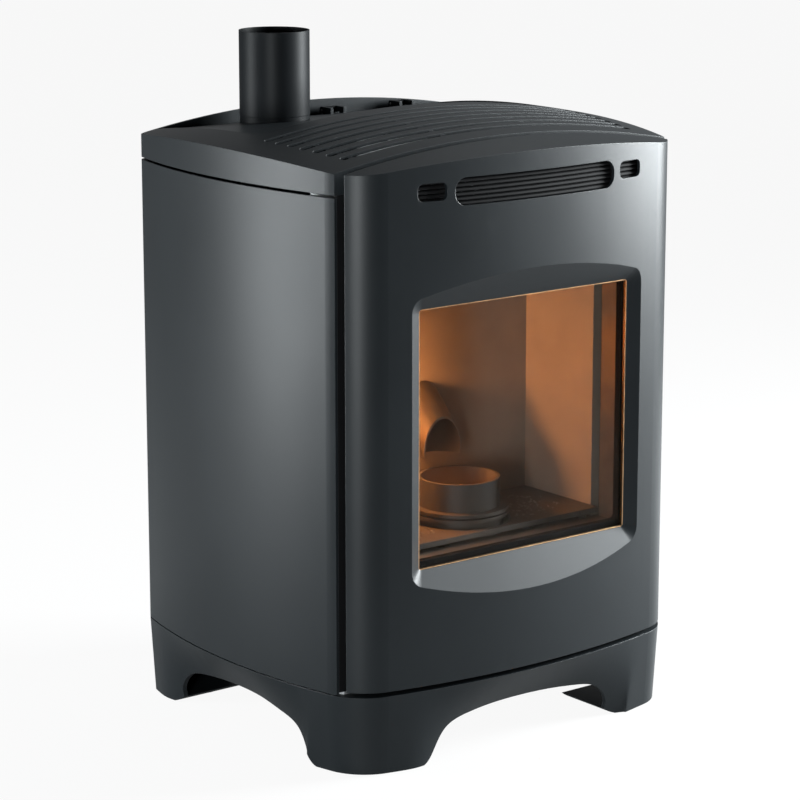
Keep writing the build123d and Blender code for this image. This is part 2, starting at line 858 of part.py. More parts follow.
def body_hinge_leaves():
    """Hinge leaves on the front frame."""
    leaves = []
    edge = hinge_x - hinge_knuckle_radius - 0.6
    for z in hinge_z:
        low, high = z - hinge_height / 2, z + hinge_height / 2
        leaf = block(hinge_leaf_x, edge, body_front_y - hinge_leaf, body_front_y, low, high)
        for z0, z1 in knuckle_spans(z)[::2]:
            leaf += hinge_knuckle(z0, z1, hinge_pin_radius)
            leaf += hinge_neck(z0, z1, body_front_y - hinge_leaf, body_front_y)
        leaves.append(leaf)
    return leaves


def hinge_pins():
    """Hinge pins."""
    half = hinge_height / 2
    return [rod_z(hinge_pin_radius, hinge_x, hinge_y, z - half, z + half) for z in hinge_z]


def latch_hook():
    """Latch hook drawn locked, then turned to its released rest position."""
    x0 = latch_x - latch_thickness / 2
    x1 = latch_x + latch_thickness / 2
    y, z = latch_pivot_y, latch_z
    tip = y + latch_reach
    hook = rod_x(latch_boss_radius, x0, x1, y, z)
    hook += block(x0, x1, y, tip, z, z + latch_boss_radius - 1)
    hook += block(x0, x1, tip - latch_boss_radius / 2, tip, z - latch_boss_radius, z + 1)
    hook += block(x0, x1, y - 3, y + 3, z - latch_tail, z)
    hook -= rod_x(latch_pin_radius + running_gap, x0 - 1, x1 + 1, y, z)
    return Pos(0, y, z) * Rot(latch_swing, 0, 0) * Pos(0, -y, -z) * hook


def latch_pin():
    """Pin of the latch hook in the inner frame's lug."""
    x0 = latch_x - latch_thickness / 2 - 1.5
    pin = rod_x(latch_pin_radius, x0, -inner_frame_half_width + latch_boss_radius, latch_pivot_y,
                latch_z)
    return pin + rod_x(latch_pin_radius + 1.5, x0, x0 + 1.2, latch_pivot_y, latch_z)


def latch_keeper():
    """Keeper pin on a bracket behind the front frame."""
    y = latch_pivot_y + latch_reach - latch_boss_radius / 2 - keeper_radius - fit_gap
    z = latch_z - keeper_radius - fit_gap
    x0 = latch_x - 2 * latch_thickness
    x1 = latch_x + latch_thickness / 2
    pin = rod_x(keeper_radius, x0, x1, y, z)
    bracket = block(x0 - plate, x0, body_front_y + plate, y + 2 * keeper_radius, z - 12, z + 12)
    return pin + bracket


def front_frame():
    """Front plate behind the door with its openings."""
    skin = prism(casing_wall + fit_gap, panel_bottom + 2, cap_seam_z - fit_gap)
    frame = skin & block(-big, big, body_front_y, body_front_y + plate, 0, big)
    reach = plate + running_gap
    frame -= block(-mouth_half_width - reach, mouth_half_width + reach, -big, 0,
                   mouth_bottom - reach, mouth_top + reach)
    frame -= block(-frame_air_half_width, frame_air_half_width, -big, 0, frame_air_z0, big)
    side = drawer_half_width + 2
    frame -= block(-side, side, -big, 0, floor_top, drawer_top + 4)
    for x in tube_x:
        frame -= rod_y(tube_radius + running_gap, x, -big, 0, tube_z)
    low = latch_z - latch_tail - latch_slot_margin
    high = latch_z + latch_reach
    inner = latch_x + latch_slot_half
    outer = latch_x - latch_slot_half
    strips = [frame & block(-big, inner, -big, 0, 0, low), frame & block(-big, inner, -big, 0, high, big),
              frame & block(-big, outer, -big, 0, low, high)]
    return [frame & block(inner, big, -big, 0, 0, big)] + strips


def mouth_ring():
    """Firebox mouth that stands forward to the rope seal."""
    return ring_xz(mouth_half_width + plate, (mouth_bottom - plate, mouth_top + plate),
                   mouth_half_width, (mouth_bottom, mouth_top), mouth_front_y, mouth_rear_y, 0)


def firebox_shell():
    """Welded steel firebox, open towards the door."""
    x = shell_half_width
    y0 = body_front_y + plate
    shell = block(-x, x, y0, shell_rear_y, shell_bottom, shell_top)
    shell -= block(-x + plate, x - plate, y0 + plate, shell_rear_y - plate, shell_bottom + plate,
                   shell_top - plate)
    reach = plate + running_gap
    shell -= block(-mouth_half_width - reach, mouth_half_width + reach, y0 - 1, y0 + plate + 1,
                   mouth_bottom - reach, mouth_top + reach)
    for tx in tube_x:
        shell -= rod_y(tube_radius + running_gap, tx, y0 - 1, shell_rear_y + 1, tube_z)
    shell -= chute_rod(chute_radius + running_gap, -10)
    shell -= rod_z(stand_radius + running_gap, 0, pot_y, shell_bottom - 1, shell_bottom + plate + 1)
    shell -= block(collector_x0 + 12, collector_x1 - 12, collector_y0 + 3, shell_rear_y - plate,
                   shell_bottom - 1, shell_bottom + plate + 1)
    shell -= rod_y(igniter_radius + running_gap, 0, 0, shell_rear_y + 1, igniter_z)
    for x in (-stand_slot_x, stand_slot_x):
        for y in (pot_y - stand_slot_y, pot_y + stand_slot_y):
            shell -= block(x - stand_slot_half_width, x + stand_slot_half_width,
                           y - stand_slot_half_length, y + stand_slot_half_length,
                           shell_bottom - 1, shell_bottom + plate + 1)
    return shell


def liner(side):
    """Side liner that stands on the shell's floor."""
    x0, x1 = sorted((side * liner_inner_x, side * (liner_inner_x + liner_thickness)))
    return block(x0, x1, liner_front_y, back_liner_y - 1 + liner_thickness, shell_bottom + plate,
                 liner_top)


def back_liner():
    """Back liner between the side liners, with the chute's hole."""
    wall = block(-liner_inner_x, liner_inner_x, back_liner_y, back_liner_y + liner_thickness,
                 shelf_top, liner_top)
    return wall - chute_rod(chute_radius + fit_gap, -10)


def shelf():
    """Firebox shelf round the burn pot, on four feet."""
    low = shelf_top - shelf_thickness
    x = liner_inner_x - fit_gap
    plate_body = block(-x, x, shelf_front_y, back_liner_y + liner_thickness, low, shelf_top)
    plate_body -= rod_z(shelf_hole_radius, 0, pot_y, 0, shelf_top + 1)
    for side in (-1, 1):
        for y in (shelf_front_y + 12, back_liner_y - 4):
            plate_body += rod_z(5, side * (x - 14), y, shell_bottom + plate, low + 1)
    return plate_body


def baffle():
    """Baffle over the fire, resting on the side liners."""
    return block(-liner_inner_x - liner_thickness, liner_inner_x + liner_thickness,
                 liner_front_y + baffle_throat, back_liner_y + liner_thickness, liner_top,
                 liner_top + baffle_thickness)


def air_tubes():
    """Heat exchanger tubes from the riser header to the front frame."""
    tubes = []
    for x in tube_x:
        tube = rod_y(tube_radius, x, body_front_y, shell_rear_y, tube_z)
        tubes.append(tube - rod_y(tube_radius - tube_wall, x, body_front_y - 1, shell_rear_y + 1, tube_z))
    return tubes


def burn_pot():
    """Perforated cup with a flange."""
    pot = rod_z(pot_radius, 0, pot_y, pot_bottom_z, pot_rim_z)
    pot += rod_z(pot_flange_radius, 0, pot_y, pot_flange_z, pot_flange_z + pot_flange_thickness)
    pot -= rod_z(pot_radius - pot_wall, 0, pot_y, pot_bottom_z + pot_wall, pot_rim_z + 1)
    for ring, count in ((12, 6), (24, 12), (35, 18)):
        for i in range(count):
            a = 2 * math.pi * i / count
            pot -= rod_z(pot_hole_radius, ring * math.cos(a), pot_y + ring * math.sin(a),
                         pot_bottom_z - 1, pot_bottom_z + pot_wall + 1)
    return pot


def pot_stand():
    """Flanged air box ring that the burn pot stands in."""
    top = pot_flange_z - stand_flange_thickness
    stand = rod_z(stand_radius, 0, pot_y, stand_bottom, pot_flange_z)
    stand += rod_z(pot_flange_radius, 0, pot_y, top - 2, pot_flange_z - 2)
    stand -= rod_z(stand_radius - stand_wall, 0, pot_y, stand_bottom + stand_wall, pot_flange_z + 1)
    stand -= block(-20, 20, pot_y, air_box_y0 + 8, air_box_z0 + 12, air_box_z1 - 6)
    return stand - rod_y(igniter_radius + running_gap, 0, pot_y, 0, igniter_z)


def chute_place():
    """Mouth centre of the chute and the direction up along it."""
    t = math.radians(chute_tilt)
    return (0, chute_mouth_y, chute_mouth_z), (0, math.cos(t), math.sin(t))


def chute_rod(radius, start):
    """Cylinder along the chute, from start before its mouth up to the auger."""
    point, way = chute_place()
    length = (auger_top_y - chute_mouth_y) / way[1] - start
    origin = tuple(p + start * w for p, w in zip(point, way))
    return Plane(origin=origin, z_dir=way) * Pos(0, 0, length / 2) * Cylinder(radius, length)


def auger_point(t):
    """Point on the auger's axis, t millimetres down from its outlet."""
    a = math.radians(auger_tilt)
    return (0, auger_top_y + t * math.cos(a), auger_top_z - t * math.sin(a))


def auger_rod(radius, t0, t1):
    """Cylinder along the auger's axis."""
    a = math.radians(auger_tilt)
    way = (0, math.cos(a), -math.sin(a))
    return Plane(origin=auger_point(t0), z_dir=way) * Pos(0, 0, (t1 - t0) / 2) * Cylinder(radius, t1 - t0)


def pellet_chute():
    """Drop tube from the auger's outlet into the firebox, cut level at its mouth."""
    tube = chute_rod(chute_radius, -10) - chute_rod(chute_radius - chute_wall, -20)
    tube -= block(-big, big, -big, chute_mouth_y - 4, 0, big)
    tube -= block(-big, big, -big, big, 0, chute_lip_z)
    return tube - auger_rod(auger_tube_radius + running_gap, -big / 2, big / 2)


def auger_tube():
    """Auger tube with its inlet and outlet windows and a closed top."""
    length = auger_tube_length
    tube = auger_rod(auger_tube_radius, -auger_overrun, length - auger_overrun)
    tube -= auger_rod(auger_tube_radius - auger_tube_wall, plate - auger_overrun, length + 1)
    outlet = chute_rod(chute_radius - chute_wall, 0)
    front = block(-big, big, -big, auger_top_y, 0, big)
    tube -= outlet & front
    inlet = block(-hopper_outlet_x + 4, hopper_outlet_x - 4, hopper_outlet_y0 + 6,
                  hopper_outlet_y1 - 2, hopper_outlet_low + 30, hopper_funnel_bottom + 20)
    return tube - inlet


def auger_screw():
    """Feed screw: shaft with one helical flight."""
    t0 = plate - auger_overrun + 2
    t1 = auger_tube_length - auger_overrun + 6
    shaft = auger_rod(auger_shaft_radius, t0, t1)
    height = t1 - t0 - 3 * auger_bush_length
    a = math.radians(auger_tilt)
    base = Plane(origin=auger_point(t0 + 4), x_dir=(1, 0, 0), z_dir=(0, math.cos(a), -math.sin(a)))
    blades = []
    steps = 12
    turns = height / auger_pitch
    count = int(turns * steps)
    angle = 360.0 / steps
    for i in range(count):
        sector = extrude(flight_sector(angle), amount=auger_flight)
        blades.append(base * Pos(0, 0, i * auger_pitch / steps) * Rot(0, 0, i * angle) * sector)
    return shaft + blades


def flight_sector(angle):
    """Plan of one step of the flight."""
    inner = auger_shaft_radius - 1
    outer = auger_screw_radius
    half = math.radians(angle * 0.6)
    c, s = math.cos(half), math.sin(half)
    edges = [Line((inner * c, -inner * s), (outer * c, -outer * s)),
             ThreePointArc((outer * c, -outer * s), (outer, 0), (outer * c, outer * s)),
             Line((outer * c, outer * s), (inner * c, inner * s)),
             Line((inner * c, inner * s), (inner * c, -inner * s))]
    return make_face(edges)


def auger_bush():
    """Bush that centres the shaft at the tube's lower end."""
    t1 = auger_tube_length - auger_overrun
    ring = auger_rod(auger_tube_radius - auger_tube_wall, t1 - auger_bush_length, t1)
    return ring - auger_rod(auger_shaft_radius + running_gap, t1 - big / 10, t1 + 1)


def auger_gearmotor():
    """Gearbox block and motor below the auger tube."""
    t1 = auger_tube_length - auger_overrun
    t2 = t1 + gearbox_length
    a = math.radians(auger_tilt)
    base = Plane(origin=auger_point(t1), x_dir=(1, 0, 0), z_dir=(0, math.cos(a), -math.sin(a)))
    gearbox = base * Pos(0, 0, gearbox_length / 2) * Box(gearbox_width, gearbox_width, gearbox_length)
    gearbox -= auger_rod(auger_shaft_radius + running_gap, t1 - 1, t1 + 7)
    return gearbox + auger_rod(motor_radius, t2, t2 + motor_length)


def hopper_block(growth):
    """Hopper as a solid: straight top, funnel and outlet, grown outwards."""
    x0, x1 = hopper_x0 - growth, hopper_x1 + growth
    y0, y1 = hopper_y0 - growth, hopper_y1 + growth
    ox = hopper_outlet_x + growth
    oy0, oy1 = hopper_outlet_y0 - growth, hopper_outlet_y1 + growth
    top = block(x0, x1, y0, y1, hopper_funnel_top, dome_top)
    funnel = loft([Pos(0, 0, hopper_funnel_bottom) * rectangle_at(-ox, ox, oy0, oy1),
                   Pos(0, 0, hopper_funnel_top) * rectangle_at(x0, x1, y0, y1)], ruled=True)
    return top + funnel + block(-ox, ox, oy0, oy1, hopper_outlet_low, hopper_funnel_bottom)


def hopper():
    """Pellet hopper with a flange under the lid; its outlet sits on the auger tube."""
    body = hopper_block(duct_wall)
    under = rod_x(deck_cylinder - deck_thickness - fit_gap, -big, big, dome_crest_y, dome_centre_z)
    body &= under
    f = hopper_flange + duct_wall
    outline = rectangle_at(hopper_x0 - f, hopper_x1 + f, hopper_y0 - f, hopper_y1 + f)
    body += deck_slab(outline, deck_thickness + fit_gap, duct_wall)
    body -= hopper_block(0)
    body -= auger_rod(auger_tube_radius + fit_gap, -big / 2, big / 2)
    a = math.radians(auger_tilt)
    low = Plane(origin=auger_point(0), x_dir=(1, 0, 0), z_dir=(0, -math.sin(a), -math.cos(a)))
    body -= low * Pos(0, 0, big / 2) * Box(4 * hopper_outlet_x, big / 2, big)
    return body


def air_box():
    """Combustion air box behind the burn pot stand."""
    box = block(air_box_x0, air_box_x1, air_box_y0, air_box_y1, air_box_z0, air_box_z1)
    w = duct_wall
    box -= block(air_box_x0 + w, air_box_x1 - w, air_box_y0 - 1, air_box_y1 - w, air_box_z0 + w,
                 air_box_z1 - w)
    lid = block(stand_radius - 6, air_box_x1, air_box_y0, air_box_y0 + w, air_box_z0, air_box_z1)
    box += lid
    box -= rod_z(stand_radius + fit_gap, 0, pot_y, air_box_z0 - 1, air_box_z1 + 1)
    return box - rod_y(air_pipe_radius + running_gap - duct_wall, air_pipe_x, air_box_y1 - w - 1,
                       air_box_y1 + 1, air_pipe_z)


def air_intake_pipe():
    """Combustion air pipe out through the rear panel."""
    y1 = back_y + air_pipe_out
    pipe = rod_y(air_pipe_radius - spigot_step, air_pipe_x, air_box_y1, y1, air_pipe_z)
    pipe += rod_y(air_pipe_radius, air_pipe_x, back_y, y1, air_pipe_z)
    return pipe - rod_y(air_pipe_radius - duct_wall, air_pipe_x, air_box_y1 - 1, y1 + 1, air_pipe_z)


def igniter():
    """Hot rod igniter with its cap outside the firebox."""
    y0 = pot_y + stand_radius - stand_wall
    rod = rod_y(igniter_radius, 0, y0, shell_rear_y, igniter_z)
    return rod + rod_y(igniter_head_radius, 0, shell_rear_y, shell_rear_y + 16, igniter_z)


def smoke_collector():
    """Box under the rear of the firebox that takes the smoke to the blower."""
    w = duct_wall
    box = block(collector_x0, collector_x1, collector_y0, collector_y1, collector_z0, shell_bottom)
    box -= block(collector_x0 + w, collector_x1 - w, collector_y0 + w, collector_y1 - w,
                 collector_z0 + w, shell_bottom - w)
    box -= block(collector_x0 + 12, collector_x1 - 12, collector_y0 + 3, shell_rear_y - plate,
                 shell_bottom - w - 1, shell_bottom + 1)
    duct = rod_y(blower_duct_radius + w, blower_x, collector_y1 - w, blower_y0, blower_z)
    box += duct
    return box - rod_y(blower_duct_radius, blower_x, collector_y1 - w - 1, blower_y0 + 1, blower_z)


def blower_housing():
    """Exhaust blower case with a round neck for the flue."""
    w = duct_wall
    case = rod_y(blower_radius, blower_x, blower_y0, blower_y1, blower_z)
    neck_low = blower_neck_top - 34
    x_out = blower_x + blower_radius
    riser = block(blower_x, x_out, blower_y0, blower_y1, blower_z, neck_low)
    neck = rod_z(flue_radius + w, flue_x, flue_y, neck_low - w, blower_neck_top)
    hollow = rod_y(blower_radius - w, blower_x, blower_y0 + w, blower_y1 - w, blower_z)
    hollow += block(blower_x + w, x_out - w, blower_y0 + w, blower_y1 - w, blower_z, neck_low - w)
    hollow += rod_z(flue_radius - flue_wall, flue_x, flue_y, neck_low, blower_neck_top + 1) & block(
        -big, big, -big, big, neck_low, big)
    throat = block(blower_x + w, x_out - w, blower_y0 + w, blower_y1 - w, blower_z, neck_low + 1)
    throat &= rod_z(flue_radius - flue_wall, flue_x, flue_y, 0, big)
    socket = rod_z(flue_radius - spigot_step + running_gap, flue_x, flue_y,
                   blower_neck_top - flue_insertion, big)
    case = case + riser + neck - hollow - throat - socket
    case -= rod_y(blower_duct_radius, blower_x, blower_y0 - 1, blower_y0 + w + 1, blower_z)
    case -= rod_y(blower_shaft_radius + running_gap, blower_x, blower_y1 - w - 1, blower_y1 + 1, blower_z)
    for side in (-1, 1):
        x = blower_x + side * blower_leg_spread - blower_leg_width / 2
        leg = block(x, x + blower_leg_width, blower_y0, blower_y1, floor_top, blower_z - 30)
        case += leg - rod_y(blower_radius - w / 2, blower_x, blower_y0, blower_y1, blower_z)
    return case


def blades_y(radius, hub, count, x, y0, y1, z):
    """Radial blades about an axis along Y."""
    blades = []
    for i in range(count):
        blade = block(hub - 2, radius, y0, y1, -1, 1)
        blades.append(Pos(x, 0, z) * Rot(0, 360.0 * i / count, 0) * blade)
    return blades


def exhaust_impeller():
    """Paddle impeller of the exhaust blower."""
    y0 = blower_y0 + 8
    y1 = blower_y1 - 8
    disc = rod_y(impeller_radius, blower_x, y1 - 2, y1, blower_z)
    hub = rod_y(12, blower_x, y0, y1, blower_z)
    shaft = rod_y(blower_shaft_radius, blower_x, y0, blower_y1 + 5, blower_z)
    return disc + hub + shaft + blades_y(impeller_radius, 12, impeller_blades, blower_x, y0, y1,
                                         blower_z)


def exhaust_motor():
    """Motor of the exhaust blower."""
    body = rod_y(blower_motor_radius, blower_x, blower_y1, blower_y1 + blower_motor_length, blower_z)
    return body - rod_y(blower_shaft_radius + running_gap, blower_x, blower_y1 - 1, blower_y1 + 6,
                        blower_z)


def fan_case():
    """Room air fan case on the floor plate, with its outlet into the riser."""
    w = duct_wall
    case = block(fan_x0, fan_x1, fan_case_y0, fan_case_y1, floor_top, fan_case_top)
    case -= rod_x(fan_radius + 5, fan_x0 + w, fan_x1 - w, fan_y, fan_z)
    case -= block(fan_x0 + w, fan_x1 - w, fan_y, fan_case_y1 + 1, fan_z - 20, fan_z + 20)
    case -= block(riser_x0 + w, riser_x1 - w, fan_case_y0 - 1, fan_y, fan_z + 12, fan_case_top - w)
    return case - rod_x(blower_shaft_radius + running_gap, fan_x0 - 1, fan_x0 + w + 1, fan_y, fan_z)


def fan_drum():
    """Drum of the room air fan: end discs, slats and a shaft."""
    x0, x1 = fan_x0 + 5, fan_x1 - 5
    drum = rod_x(fan_radius, x0, x0 + 2, fan_y, fan_z) + rod_x(fan_radius, x1 - 2, x1, fan_y, fan_z)
    drum += rod_x(blower_shaft_radius, fan_x0 - 5, x1, fan_y, fan_z)
    for i in range(fan_blades):
        slat = block(x0, x1, fan_radius - 9, fan_radius - 0.5, -0.8, 0.8)
        drum += Pos(0, fan_y, fan_z) * Rot(360.0 * i / fan_blades, 0, 0) * slat
    return drum


def fan_motor():
    """Motor at the end of the room air fan."""
    body = rod_x(fan_motor_radius, fan_x0 - fan_motor_length, fan_x0, fan_y, fan_z)
    body += block(fan_x0 - fan_motor_length, fan_x0 - 4, fan_y - 10, fan_y + 10, floor_top,
                  fan_z - fan_motor_radius + 3)
    return body - rod_x(blower_shaft_radius + running_gap, fan_x0 - 6, fan_x0 + 1, fan_y, fan_z)


def air_riser():
    """Duct from the fan up to the header behind the tubes."""
    w = duct_wall
    y0, y1 = shell_rear_y, riser_y1
    outer = block(riser_x0, riser_x1, y0, y1, fan_z + 8, header_z1)
    outer += block(-header_x, riser_x1, y0, y1, header_z0, header_z1)
    inner = block(riser_x0 + w, riser_x1 - w, y0 + w, y1 - w, fan_z + 8 + w, header_z1 - w)
    inner += block(-header_x + w, riser_x1 - w, y0 + w, y1 - w, header_z0 + w, header_z1 - w)
    riser = outer - inner
    riser -= block(riser_x0 + w, riser_x1 - w, y1 - w - 1, y1 + 1, fan_z + 12, fan_case_top - w)
    for x in tube_x:
        riser -= rod_y(tube_radius - tube_wall, x, y0 - 1, y0 + w + 1, tube_z)
    return riser


def riser_neck():
    """Short neck between the fan case and the riser."""
    w = duct_wall
    neck = block(riser_x0, riser_x1, riser_y1, fan_case_y0, fan_z + 12 - w, fan_case_top)
    return neck - block(riser_x0 + w, riser_x1 - w, riser_y1 - 1, fan_case_y0 + 1, fan_z + 12,
                        fan_case_top - w)


def floor_plate():
    """Steel floor of the stove on the base."""
    sheet = prism(base_wall + casing_wall, base_height, floor_top)
    return sheet & block(-big, big, body_front_y, back_inner_y - 1, 0, big)


def chassis_sides():
    """Upright plates that carry the firebox."""
    return [block(x - plate / 2, x + plate / 2, body_front_y + plate, collector_y0 - 2, floor_top,
                  shell_bottom) for x in (-chassis_x, chassis_x)]


def ash_drawer():
    """Open ash drawer with a folded grip."""
    z0 = floor_top + runner_height
    x = drawer_half_width
    tray = block(-x, x, drawer_front_y, drawer_rear_y, z0, drawer_top)
    tray -= block(-x + drawer_wall, x - drawer_wall, drawer_front_y + drawer_wall,
                  drawer_rear_y - drawer_wall, z0 + drawer_wall, drawer_top + 1)
    grip = block(-30, 30, drawer_front_y - 10, drawer_front_y, drawer_top - 12, drawer_top - 10)
    return tray + grip


def drawer_runners():
    """Runners of the ash drawer on the floor plate."""
    return [block(x - runner_width / 2, x + runner_width / 2, drawer_front_y + 2, drawer_rear_y,
                  floor_top, floor_top + runner_height) for x in (-runner_x, runner_x)]


def power_inlet():
    """Appliance inlet in the rear panel with its flange and three blades."""
    x0, x1 = inlet_x - inlet_width / 2, inlet_x + inlet_width / 2
    z0, z1 = inlet_z - inlet_height / 2, inlet_z + inlet_height / 2
    g = fit_gap
    body = block(x0 + g, x1 - g, back_outer_y - inlet_depth, back_outer_y, z0 + g, z1 - g)
    body += block(x0 - 5, x1 + 5, back_outer_y, back_outer_y + 2, z0 - 4, z1 + 4)
    body -= block(inlet_x - 12, inlet_x + 12, back_outer_y - inlet_depth + 4, back_outer_y + 3,
                  inlet_z - 8, inlet_z + 8)
    for dx, dz in ((-7, -2), (0, 3), (7, -2)):
        body += block(inlet_x + dx - 1, inlet_x + dx + 1, back_outer_y - inlet_depth + 3,
                      back_outer_y - 5, inlet_z + dz - 2, inlet_z + dz + 2)
    return body


def switch_frame():
    """Frame of the rocker switch."""
    g = fit_gap
    x0, x1 = inlet_x - switch_width / 2 + g, inlet_x + switch_width / 2 - g
    z0, z1 = switch_z - switch_height / 2 + g, switch_z + switch_height / 2 - g
    body = block(x0, x1, back_outer_y - 16, back_outer_y, z0, z1)
    body += block(x0 - 2, x1 + 2, back_outer_y, back_outer_y + 1.5, z0 - 2, z1 + 2)
    half = switch_swing_radius
    return body - block(inlet_x - half, inlet_x + half, back_outer_y - 13, back_outer_y + 2,
                        switch_z - 5.5, switch_z + 5.5)


def switch_rocker():
    """Rocker with its pivot stubs, turning about Z."""
    rocker = block(inlet_x - 7.5, inlet_x + 7.5, back_outer_y - 3, back_outer_y + 3, switch_z - 5.2,
                   switch_z + 5.2)
    rocker &= Pos(inlet_x, back_outer_y - 3, switch_z) * Cylinder(8, 12)
    return rocker


def reset_button():
    """Push button in the rear panel."""
    low = back_inner_y + button_travel + fit_gap
    cap = rod_y(button_radius, inlet_x, low, back_outer_y + button_stand, button_z)
    return cap + rod_y(2, inlet_x, back_inner_y - 6, low + 1, button_z)


save("base_skirt", base_skirt())
save("foot_pads", *foot_pads())
save("floor_plate", floor_plate())
save("left_side_panel", side_panel(-1))
save("right_side_panel", side_panel(1))
save("back_panel", back_panel())
save("top_cap", top_cap())
save("rear_deck", rear_deck())
save("hopper_lid", hopper_lid())
save("lid_gasket", lid_gasket())
save("lid_hinge_posts", *lid_hinge_posts())
save("lid_hinge_pins", *lid_hinge_pins())
save("flue_pipe", flue_pipe())
save("door_shell", door_shell())
save("door_glass", door_glass())
save("glass_gasket", glass_gasket())
save("door_inner_frame", inner_frame())
save("inner_frame_screws", *inner_frame_screws())
save("door_rope_seal", rope_seal())
save("door_hinge_leaves", *door_hinge_leaves())
save("body_hinge_leaves", *body_hinge_leaves())
save("hinge_pins", *hinge_pins())
save("latch_hook", latch_hook())
save("latch_pin", latch_pin())
save("latch_keeper", latch_keeper())
save("front_frame", *front_frame())
save("firebox_mouth", mouth_ring())
save("firebox_shell", firebox_shell())
save("left_liner", liner(-1))
save("right_liner", liner(1))
save("back_liner", back_liner())
save("firebox_shelf", shelf())
save("baffle", baffle())
save("heat_exchanger_tubes", *air_tubes())
save("burn_pot", burn_pot())
save("burn_pot_stand", pot_stand())
save("pellet_chute", pellet_chute())
save("auger_tube", auger_tube())
save("auger_screw", auger_screw())
save("auger_bush", auger_bush())
save("auger_gearmotor", auger_gearmotor())
save("hopper", hopper())
save("combustion_air_box", air_box())
save("air_intake_pipe", air_intake_pipe())
save("igniter", igniter())
save("smoke_collector", smoke_collector())
save("exhaust_blower_housing", blower_housing())
save("exhaust_impeller", exhaust_impeller())
save("exhaust_motor", exhaust_motor())
save("room_fan_case", fan_case())
save("room_fan_drum", fan_drum())
save("room_fan_motor", fan_motor())
save("air_riser", air_riser(), riser_neck())
save("chassis_sides", *chassis_sides())
save("ash_drawer", ash_drawer())
save("drawer_runners", *drawer_runners())
save("power_inlet", power_inlet())
save("rocker_switch_frame", switch_frame())
save("rocker_switch", switch_rocker())
save("reset_button", reset_button())
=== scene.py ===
import math
import random

import bmesh
import bpy
from mathutils import Matrix, Vector, noise


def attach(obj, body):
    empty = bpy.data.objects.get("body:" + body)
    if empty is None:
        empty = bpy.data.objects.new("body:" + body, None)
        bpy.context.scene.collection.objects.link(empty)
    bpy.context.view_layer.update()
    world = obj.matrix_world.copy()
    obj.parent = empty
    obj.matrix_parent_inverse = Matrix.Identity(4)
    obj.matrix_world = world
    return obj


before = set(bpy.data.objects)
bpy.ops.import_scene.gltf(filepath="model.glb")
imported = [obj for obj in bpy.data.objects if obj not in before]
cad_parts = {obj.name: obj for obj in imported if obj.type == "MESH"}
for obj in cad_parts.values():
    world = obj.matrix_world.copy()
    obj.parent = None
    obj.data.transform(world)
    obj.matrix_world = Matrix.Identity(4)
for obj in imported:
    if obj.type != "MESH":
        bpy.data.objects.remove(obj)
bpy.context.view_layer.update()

random.seed(7)


# Camera

VIEW_AZIMUTH = math.radians(-38.15)
VIEW_ELEVATION = math.radians(12.68)
VIEW_DISTANCE = 3.334
VIEW_SIDEWAYS = -0.0106
VIEW_HEIGHT = 0.3505
VIEW_LENS = 131.66


def place_camera():
    """Camera at the photograph's angle, in front of the stove's left corner."""
    back = Vector((math.sin(VIEW_AZIMUTH) * math.cos(VIEW_ELEVATION),
                   -math.cos(VIEW_AZIMUTH) * math.cos(VIEW_ELEVATION), math.sin(VIEW_ELEVATION)))
    sideways = Vector((math.cos(VIEW_AZIMUTH), math.sin(VIEW_AZIMUTH), 0)) * VIEW_SIDEWAYS
    data = bpy.data.cameras.new("photo_camera")
    data.lens = VIEW_LENS
    data.clip_start = 0.1
    data.clip_end = 200
    camera = bpy.data.objects.new("photo_camera", data)
    camera.location = Vector((0, 0, VIEW_HEIGHT)) + back * VIEW_DISTANCE + sideways
    camera.rotation_mode = "QUATERNION"
    camera.rotation_quaternion = (-back).to_track_quat("-Z", "Y")
    bpy.context.scene.collection.objects.link(camera)
    bpy.context.scene.camera = camera


# Shader sockets in plain arithmetic

class Value:
    """An output socket that takes part in Python arithmetic."""

    def __init__(self, finish, socket):
        self.finish = finish
        self.socket = socket

    def math(self, operation, *others):
        values = dict(enumerate((self, *others)))
        return self.finish.node("ShaderNodeMath", {"operation": operation}, values)[0]

    def __add__(self, other):
        return self.math("ADD", other)

    __radd__ = __add__

    def __mul__(self, other):
        return self.math("MULTIPLY", other)

    __rmul__ = __mul__

    def __sub__(self, other):
        return self.math("SUBTRACT", other)

    def __rsub__(self, other):
        return self.finish.node("ShaderNodeMath", {"operation": "SUBTRACT"}, {0: other, 1: self})[0]

    def clamp(self):
        return self.finish.node("ShaderNodeClamp", {}, {"Value": self})[0]

    def span(self, low, high):
        """0 at low, 1 at high, held outside."""
        return self.finish.node("ShaderNodeMapRange", {"clamp": True}, {
            "Value": self, "From Min": low, "From Max": high, "To Min": 0.0, "To Max": 1.0})[0]


class Node:
    """A shader node whose outputs are read by index or name."""

    def __init__(self, finish, node):
        self.finish = finish
        self.node = node

    def __getitem__(self, key):
        return Value(self.finish, self.node.outputs[key])


